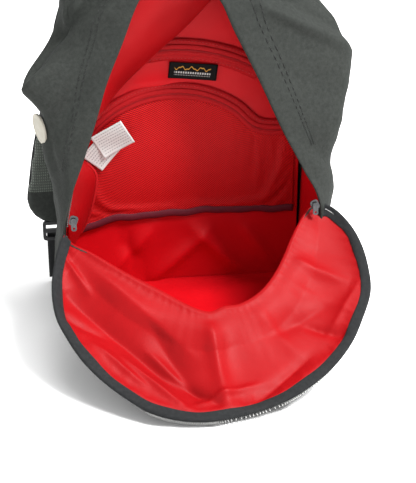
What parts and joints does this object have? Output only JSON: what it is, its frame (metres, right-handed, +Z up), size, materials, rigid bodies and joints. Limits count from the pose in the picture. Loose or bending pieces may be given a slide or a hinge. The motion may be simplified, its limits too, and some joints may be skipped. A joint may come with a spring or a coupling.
{
  "type": "ski backpack",
  "caption": "Soft day backpack for skiing, standing open, with a folded-down front flap, zips, a mesh pocket in its lining and padded shoulder straps.",
  "frame": {"origin": "on the ground, in the middle of the pack's width, under the middle of its base", "axes": "+X to the right seen from the front, +Z up, front (the folded-down flap) faces -Y, the wearer's back is at +Y"},
  "size_m": [0.358, 0.3768, 0.4443],
  "materials": {
    "black_label": "woven label",
    "black_plastic": "moulded buckles",
    "board": "stiffening sheet",
    "cream_badge": "moulded oval badge",
    "dark_red_binding": "dark red binding tape",
    "foam": "closed-cell foam",
    "grey_mesh": "ribbed spacer mesh over foam",
    "grey_tape": "dark grey woven zip tape",
    "pack_cloth": "dark grey coated weave",
    "red_lining": "thin glossy red lining cloth",
    "red_mesh": "fine open red net",
    "red_zip": "red zip tape and coil",
    "silver_teeth": "silver moulded zip teeth",
    "webbing": "woven strap",
    "white_label": "satin care labels",
    "zip_metal": "plated zip sliders and tabs"
  },
  "bodies": {
    "pack": {"back_foam": "foam", "back_pad_left": "grey_mesh", "back_pad_right": "grey_mesh", "base_board": "board", "base_shell": "pack_cloth", "care_labels": "white_label", "frame_sheet": "board", "lining_back": "red_lining", "lining_base": "red_lining", "lining_front": "red_lining", "lining_side_left": "red_lining", "lining_side_right": "red_lining", "lining_top": "red_lining", "lumbar_pad": "grey_mesh", "mesh_pocket": "red_mesh", "pocket_binding": "dark_red_binding", "pocket_zip_tape": "red_zip", "pocket_zip_teeth": "red_zip", "shell_back": "pack_cloth", "shell_front": "pack_cloth", "shell_side_left": "pack_cloth", "shell_side_right": "pack_cloth", "shell_top": "pack_cloth", "side_badges": "cream_badge", "strap_anchors": "webbing", "strap_yoke": "pack_cloth", "upper_zip_tape": "red_zip", "upper_zip_teeth": "red_zip", "woven_label": "black_label", "zip_tape_body": "grey_tape", "zip_teeth_body": "silver_teeth"},
    "flap": {"flap_lining": "red_lining", "flap_shell": "pack_cloth", "flap_zip_tape": "grey_tape", "flap_zip_teeth": "silver_teeth"},
    "main_slider_left": {"main_slider_left": "zip_metal"},
    "main_slider_right": {"main_slider_right": "zip_metal"},
    "main_puller_left": {"main_puller_left": "zip_metal"},
    "main_puller_right": {"main_puller_right": "zip_metal"},
    "pocket_zip_slider": {"pocket_zip_slider": "zip_metal"},
    "pocket_zip_puller": {"pocket_zip_puller": "zip_metal"},
    "upper_zip_slider": {"upper_zip_slider": "zip_metal"},
    "upper_zip_puller": {"upper_zip_puller": "zip_metal"},
    "strap_left": {"strap_cloth_left": "pack_cloth", "strap_foam_left": "foam", "strap_mesh_left": "grey_mesh", "strap_cap_left": "pack_cloth", "ladder_lock_left": "black_plastic", "strap_webbing_left": "webbing"},
    "strap_right": {"strap_cloth_right": "pack_cloth", "strap_foam_right": "foam", "strap_mesh_right": "grey_mesh", "strap_cap_right": "pack_cloth", "ladder_lock_right": "black_plastic", "strap_webbing_right": "webbing"},
    "sternum_left": {"sternum_webbing_left": "webbing", "buckle_socket": "black_plastic"},
    "sternum_right": {"sternum_webbing_right": "webbing", "buckle_plug": "black_plastic"},
    "haul_loop": {"haul_loop": "webbing"}
  },
  "joints": [
    {"name": "flap_fold", "type": "hinge", "parent": "pack", "child": "flap", "pos_m": [0, -0.02, 0.13], "axis": [-1, 0, 0], "range_deg": [0, 127]},
    {"name": "main_slider_right_run", "type": "slide", "parent": "pack", "child": "main_slider_right", "axis": [-0.403, 0.1511, 0.9027], "range_m": [0, 0.19]},
    {"name": "main_puller_right_swing", "type": "hinge", "parent": "main_slider_right", "child": "main_puller_right", "pos_m": [0.13356, -0.0245, 0.14191], "axis": [0, -0.9863, 0.165], "range_deg": [-60, 60]},
    {"name": "main_slider_left_run", "type": "slide", "parent": "pack", "child": "main_slider_left", "axis": [0.3336, 0.1556, 0.9298], "range_m": [0, 0.19]},
    {"name": "main_puller_left_swing", "type": "hinge", "parent": "main_slider_left", "child": "main_puller_left", "pos_m": [-0.13451, -0.0245, 0.14191], "axis": [0, -0.9863, 0.165], "range_deg": [-60, 60]},
    {"name": "pocket_zip_run", "type": "hinge", "parent": "pack", "child": "pocket_zip_slider", "pos_m": [-0.012, 0.0703, 0.124], "axis": [0, 1, 0], "range_deg": [0, 110]},
    {"name": "pocket_zip_puller_swing", "type": "hinge", "parent": "pocket_zip_slider", "child": "pocket_zip_puller", "pos_m": [-0.11852, 0.0703, 0.1855], "axis": [-1, 0, 0], "range_deg": [0, 100]},
    {"name": "upper_zip_run", "type": "hinge", "parent": "pack", "child": "upper_zip_slider", "pos_m": [-0.014, 0.0703, 0.098], "axis": [0, 1, 0], "range_deg": [0, 54]},
    {"name": "upper_zip_puller_swing", "type": "hinge", "parent": "upper_zip_slider", "child": "upper_zip_puller", "pos_m": [-0.1048, 0.0703, 0.2762], "axis": [-1, 0, 0], "range_deg": [0, 100]},
    {"name": "strap_right_swing", "type": "hinge", "parent": "pack", "child": "strap_right", "pos_m": [0, 0.1221, 0.3957], "axis": [1, 0, 0], "range_deg": [0, 21]},
    {"name": "sternum_right_swing", "type": "hinge", "parent": "strap_right", "child": "sternum_right", "pos_m": [0.08696, 0.1261, 0.306], "axis": [0, 1, 0], "range_deg": [0, 88]},
    {"name": "strap_left_swing", "type": "hinge", "parent": "pack", "child": "strap_left", "pos_m": [0, 0.1221, 0.3957], "axis": [1, 0, 0], "range_deg": [0, 21]},
    {"name": "sternum_left_swing", "type": "hinge", "parent": "strap_left", "child": "sternum_left", "pos_m": [-0.08696, 0.1261, 0.306], "axis": [0, -1, 0], "range_deg": [0, 88]},
    {"name": "haul_loop_fold", "type": "hinge", "parent": "pack", "child": "haul_loop", "pos_m": [0, 0.1221, 0.4123], "axis": [-1, 0, 0], "range_deg": [0, 80]}
  ],
  "couplings": [
    {"joint": "main_slider_left_run", "follows": "flap_fold", "m_per_rad": 0.08571},
    {"joint": "main_slider_right_run", "follows": "flap_fold", "m_per_rad": 0.08571}
  ]
}
